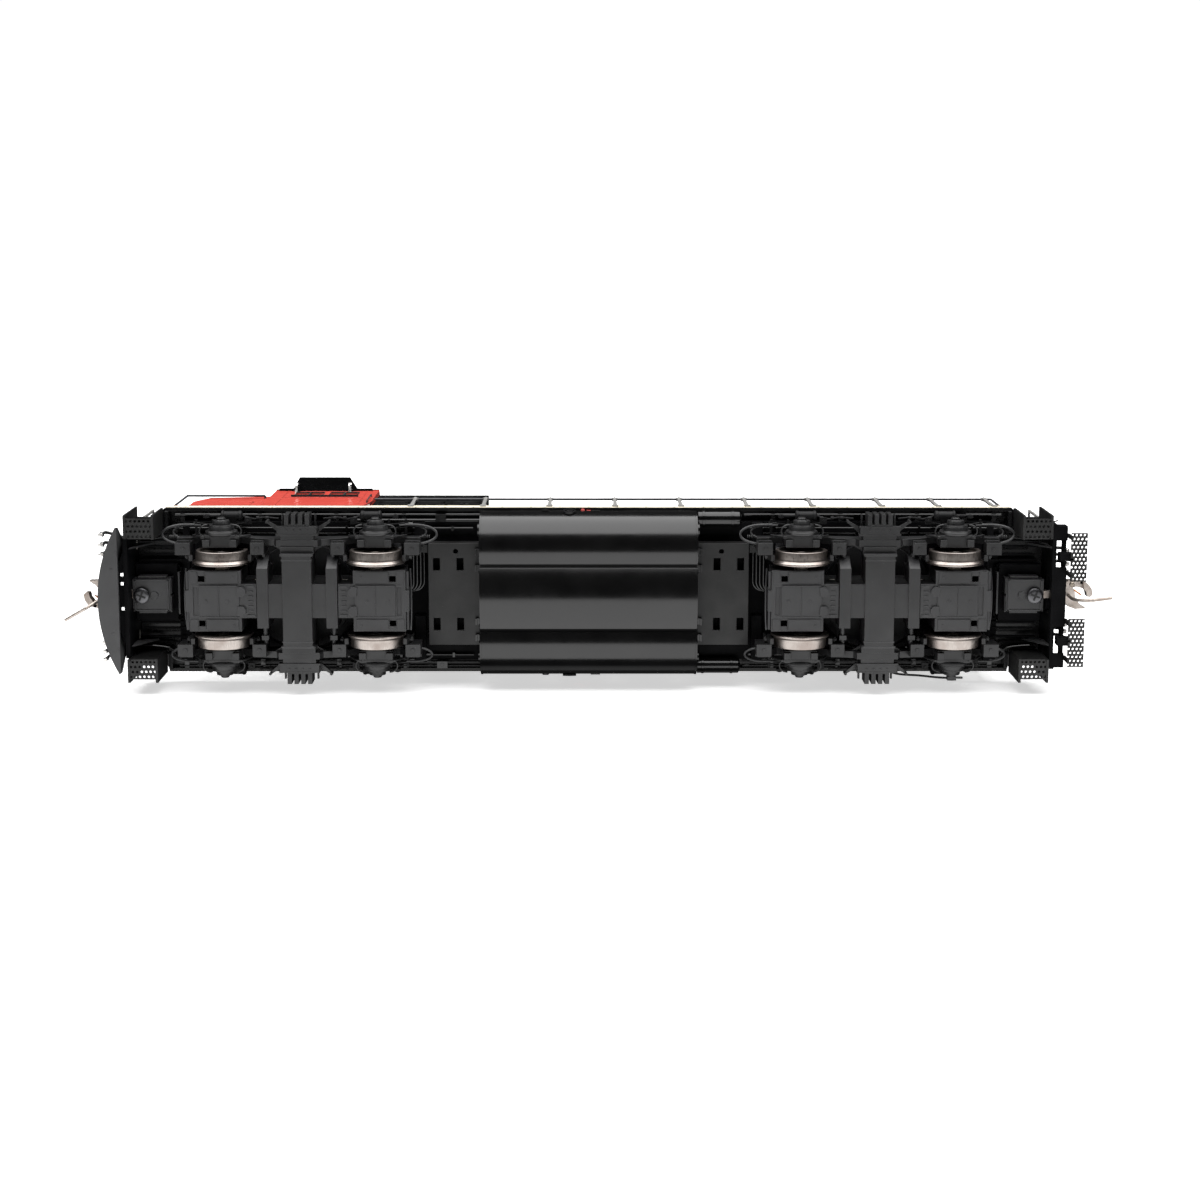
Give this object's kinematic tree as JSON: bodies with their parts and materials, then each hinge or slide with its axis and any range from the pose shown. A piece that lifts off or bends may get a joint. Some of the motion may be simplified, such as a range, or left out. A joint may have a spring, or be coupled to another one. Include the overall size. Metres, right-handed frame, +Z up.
{
  "type": "model diesel-electric locomotive",
  "caption": "HO scale four-axle hood-unit diesel-electric road switcher with flywheel drive, swivelling geared trucks, knuckle couplers, fuel tank and wide cab.",
  "frame": {"origin": "middle of the model's footprint, at the lowest point of the wheel flanges", "axes": "+X towards the cab end along the track, +Y to the left, +Z up"},
  "size_m": [0.2142, 0.0402, 0.0526],
  "materials": {
    "frame_black": "satin black paint",
    "body_black": "satin black moulded plastic",
    "tank_black": "semi-gloss black moulded plastic",
    "grille_dark": "etched metal, dark",
    "body_red": "semi-gloss red paint on plastic",
    "glazing": "clear moulded glazing",
    "interior_grey": "matt grey plastic",
    "lamp_clear": "clear lens",
    "rail_white": "off-white moulded plastic",
    "rail_dark": "fine dark wire",
    "hose_rubber": "flexible black",
    "screw_steel": "blackened steel",
    "bell_brass": "turned brass",
    "motor_steel": "plated steel can",
    "board_green": "lacquered circuit board",
    "weight_metal": "rough cast weight",
    "speaker_black": "matt black",
    "gear_nylon": "natural acetal",
    "coupler_metal": "bronzed cast metal",
    "truck_black": "satin black engineering plastic",
    "wheel_nickel": "turned nickel silver"
  },
  "bodies": {
    "root": {"underframe": "frame_black", "walkway_deck": "body_black", "fuel_tank": "tank_black", "fuel_filler_caps": "tank_black", "air_reservoirs": "tank_black", "driveshaft_covers": "frame_black", "underframe_pipes": "tank_black", "hood_shell": "body_black", "radiator_grilles": "grille_dark", "roof_fans": "body_black", "cab_shell": "body_red", "cab_glazing": "glazing", "cab_interior": "interior_grey", "nose_hood": "body_red", "headlight_lenses": "lamp_clear", "window_sunshades": "body_black", "equipment_cabinet": "body_black", "front_pilot": "frame_black", "snow_plow": "body_black", "rear_pilot": "frame_black", "step_treads": "body_black", "handrail_stanchions": "rail_white", "handrails": "rail_dark", "mu_hoses": "hose_rubber", "coupler_boxes": "frame_black", "assembly_screws": "screw_steel", "bell_and_horn": "bell_brass", "motor_housing": "motor_steel", "circuit_board": "board_green", "ballast_weight": "weight_metal", "speaker": "speaker_black"},
    "rotor": {"motor_armature": "motor_steel", "flywheels": "bell_brass", "drive_shafts": "gear_nylon"},
    "front_truck": {"front_truck_frame": "truck_black", "front_truck_gear_covers": "truck_black", "front_truck_side_frames": "truck_black"},
    "front_worm": {"front_truck_worm": "bell_brass"},
    "front_worm_wheel": {"front_truck_worm_wheel": "gear_nylon"},
    "front_idler_fore": {"front_truck_idler_fore": "gear_nylon"},
    "front_idler_aft": {"front_truck_idler_aft": "gear_nylon"},
    "front_wheelset_fore": {"front_truck_wheels_fore": "wheel_nickel", "front_truck_axle_gear_fore": "gear_nylon"},
    "front_wheelset_aft": {"front_truck_wheels_aft": "wheel_nickel", "front_truck_axle_gear_aft": "gear_nylon"},
    "front_coupler": {"front_coupler": "coupler_metal"},
    "front_knuckle": {"front_knuckle": "coupler_metal"},
    "rear_truck": {"rear_truck_frame": "truck_black", "rear_truck_gear_covers": "truck_black", "rear_truck_side_frames": "truck_black"},
    "rear_worm": {"rear_truck_worm": "bell_brass"},
    "rear_worm_wheel": {"rear_truck_worm_wheel": "gear_nylon"},
    "rear_idler_fore": {"rear_truck_idler_fore": "gear_nylon"},
    "rear_idler_aft": {"rear_truck_idler_aft": "gear_nylon"},
    "rear_wheelset_fore": {"rear_truck_wheels_fore": "wheel_nickel", "rear_truck_axle_gear_fore": "gear_nylon"},
    "rear_wheelset_aft": {"rear_truck_wheels_aft": "wheel_nickel", "rear_truck_axle_gear_aft": "gear_nylon"},
    "rear_coupler": {"rear_coupler": "coupler_metal"},
    "rear_knuckle": {"rear_knuckle": "coupler_metal"}
  },
  "joints": [
    {"name": "motor_spin", "type": "hinge", "parent": "root", "child": "rotor", "pos_m": [0, 0, 0.02306], "axis": [1, 0, 0], "continuous": true},
    {"name": "front_truck_swivel", "type": "hinge", "parent": "root", "child": "front_truck", "pos_m": [0.0594, 0, 0.0156], "axis": [0, 0, 1], "range_deg": [-10, 10]},
    {"name": "front_worm_spin", "type": "hinge", "parent": "front_truck", "child": "front_worm", "pos_m": [0.0594, 0, 0.02306], "axis": [1, 0, 0], "continuous": true},
    {"name": "front_worm_wheel_spin", "type": "hinge", "parent": "front_truck", "child": "front_worm_wheel", "pos_m": [0.0594, 0, 0.01381], "axis": [0, 1, 0], "continuous": true},
    {"name": "front_idler_fore_spin", "type": "hinge", "parent": "front_truck", "child": "front_idler_fore", "pos_m": [0.06844, 0, 0.008], "axis": [0, 1, 0], "continuous": true},
    {"name": "front_idler_aft_spin", "type": "hinge", "parent": "front_truck", "child": "front_idler_aft", "pos_m": [0.05036, 0, 0.008], "axis": [0, 1, 0], "continuous": true},
    {"name": "front_wheelset_fore_spin", "type": "hinge", "parent": "front_truck", "child": "front_wheelset_fore", "pos_m": [0.07515, 0, 0.006], "axis": [0, 1, 0], "continuous": true},
    {"name": "front_wheelset_aft_spin", "type": "hinge", "parent": "front_truck", "child": "front_wheelset_aft", "pos_m": [0.04365, 0, 0.006], "axis": [0, 1, 0], "continuous": true},
    {"name": "front_coupler_swing", "type": "hinge", "parent": "root", "child": "front_coupler", "pos_m": [0.0924, 0, 0.0105], "axis": [0, 0, 1], "range_deg": [-8, 8], "stiffness_Nm_per_rad": 0.0004},
    {"name": "front_knuckle_open", "type": "hinge", "parent": "front_coupler", "child": "front_knuckle", "pos_m": [0.1002, -0.0022, 0.0105], "axis": [0, 0, 1], "range_deg": [-18, 0], "stiffness_Nm_per_rad": 0.0002},
    {"name": "rear_truck_swivel", "type": "hinge", "parent": "root", "child": "rear_truck", "pos_m": [-0.0594, 0, 0.0156], "axis": [0, 0, 1], "range_deg": [-10, 10]},
    {"name": "rear_worm_spin", "type": "hinge", "parent": "rear_truck", "child": "rear_worm", "pos_m": [-0.0594, 0, 0.02306], "axis": [1, 0, 0], "continuous": true},
    {"name": "rear_worm_wheel_spin", "type": "hinge", "parent": "rear_truck", "child": "rear_worm_wheel", "pos_m": [-0.0594, 0, 0.01381], "axis": [0, 1, 0], "continuous": true},
    {"name": "rear_idler_fore_spin", "type": "hinge", "parent": "rear_truck", "child": "rear_idler_fore", "pos_m": [-0.05036, 0, 0.008], "axis": [0, 1, 0], "continuous": true},
    {"name": "rear_idler_aft_spin", "type": "hinge", "parent": "rear_truck", "child": "rear_idler_aft", "pos_m": [-0.06844, 0, 0.008], "axis": [0, 1, 0], "continuous": true},
    {"name": "rear_wheelset_fore_spin", "type": "hinge", "parent": "rear_truck", "child": "rear_wheelset_fore", "pos_m": [-0.04365, 0, 0.006], "axis": [0, 1, 0], "continuous": true},
    {"name": "rear_wheelset_aft_spin", "type": "hinge", "parent": "rear_truck", "child": "rear_wheelset_aft", "pos_m": [-0.07515, 0, 0.006], "axis": [0, 1, 0], "continuous": true},
    {"name": "rear_coupler_swing", "type": "hinge", "parent": "root", "child": "rear_coupler", "pos_m": [-0.0924, 0, 0.0105], "axis": [0, 0, 1], "range_deg": [-8, 8], "stiffness_Nm_per_rad": 0.0004},
    {"name": "rear_knuckle_open", "type": "hinge", "parent": "rear_coupler", "child": "rear_knuckle", "pos_m": [-0.1002, 0.0022, 0.0105], "axis": [0, 0, 1], "range_deg": [-18, 0], "stiffness_Nm_per_rad": 0.0002}
  ],
  "couplings": [
    {"joint": "front_worm_spin", "follows": "motor_spin", "ratio": 1},
    {"joint": "front_worm_wheel_spin", "follows": "motor_spin", "ratio": 0.037037},
    {"joint": "front_idler_fore_spin", "follows": "motor_spin", "ratio": -0.0625},
    {"joint": "front_idler_aft_spin", "follows": "motor_spin", "ratio": -0.0625},
    {"joint": "front_wheelset_fore_spin", "follows": "motor_spin", "ratio": 0.083333},
    {"joint": "front_wheelset_aft_spin", "follows": "motor_spin", "ratio": 0.083333},
    {"joint": "rear_worm_spin", "follows": "motor_spin", "ratio": 1},
    {"joint": "rear_worm_wheel_spin", "follows": "motor_spin", "ratio": 0.037037},
    {"joint": "rear_idler_fore_spin", "follows": "motor_spin", "ratio": -0.0625},
    {"joint": "rear_idler_aft_spin", "follows": "motor_spin", "ratio": -0.0625},
    {"joint": "rear_wheelset_fore_spin", "follows": "motor_spin", "ratio": 0.083333},
    {"joint": "rear_wheelset_aft_spin", "follows": "motor_spin", "ratio": 0.083333}
  ]
}
